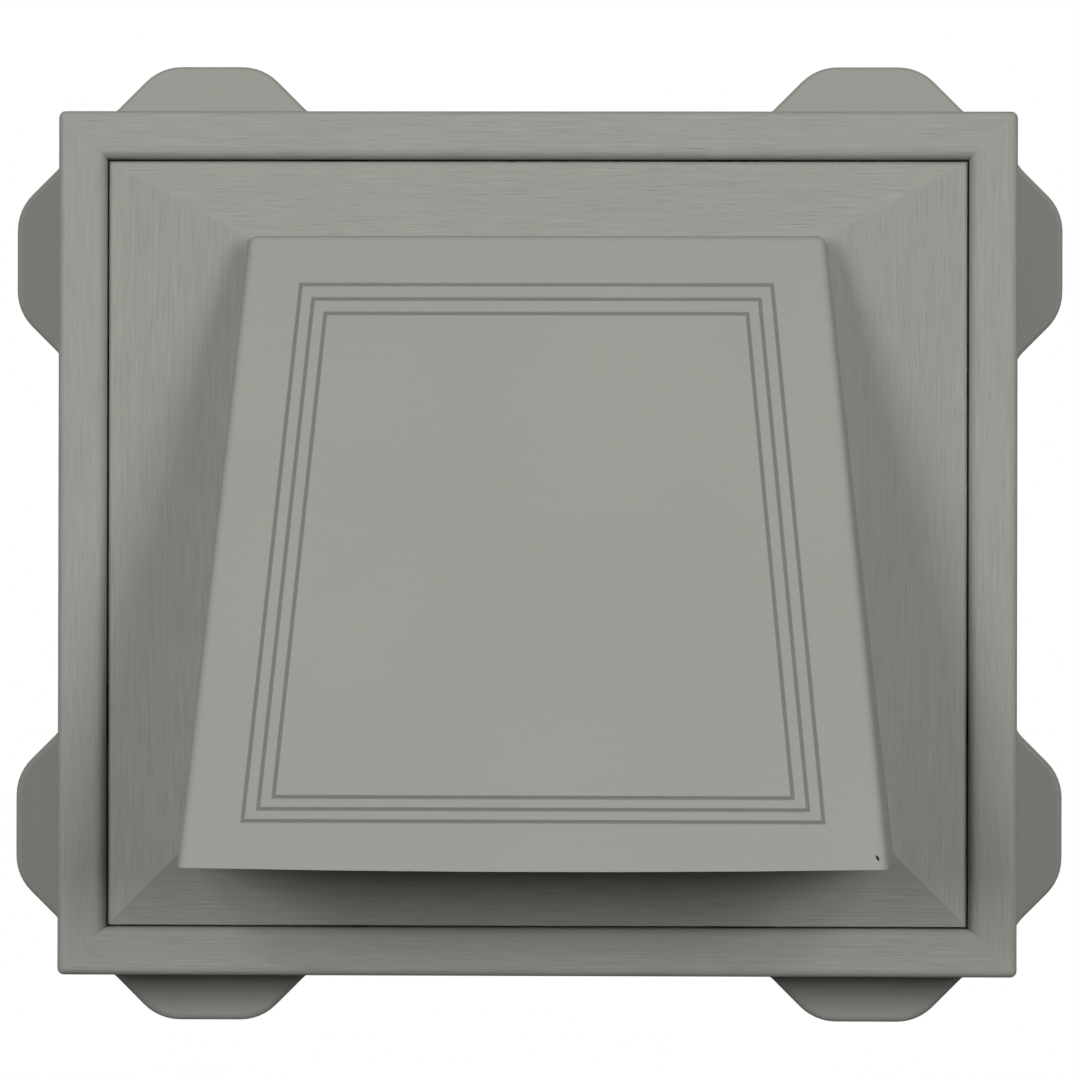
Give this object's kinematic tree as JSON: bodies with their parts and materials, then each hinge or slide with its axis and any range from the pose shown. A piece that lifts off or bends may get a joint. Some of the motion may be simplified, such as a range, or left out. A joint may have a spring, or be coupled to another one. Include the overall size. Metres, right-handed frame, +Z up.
{
  "type": "dryer vent cap",
  "caption": "Hooded wall cap for a dryer duct: sloped face and drooping hood on a nailing flange, sliding trim ring, round duct collar and hinged backdraft damper.",
  "frame": {"origin": "on the duct axis, in the plane of the flange's back, where the cap meets the wall", "axes": "+X to the right seen from outdoors, +Y along the duct into the wall, +Z up"},
  "size_m": [0.2482, 0.1342, 0.2264],
  "materials": {
    "grained_plastic": "matte, embossed wood grain",
    "plain_plastic": "satin, smooth",
    "plated_steel": "zinc plated"
  },
  "bodies": {
    "cap": {"vent_body": "grained_plastic", "collar_plate": "plain_plastic", "plate_screws": "plated_steel", "damper_rod": "plated_steel"},
    "ring": {"trim_ring": "grained_plastic"},
    "damper": {"damper_flap": "plain_plastic"}
  },
  "joints": [
    {"name": "damper_hinge", "type": "hinge", "parent": "cap", "child": "damper", "pos_m": [0, -0.009, 0.0575], "axis": [-1, 0, 0], "range_deg": [0, 33]},
    {"name": "ring_slide", "type": "slide", "parent": "cap", "child": "ring", "axis": [0, 1, 0], "range_m": [0, 0.01]}
  ]
}
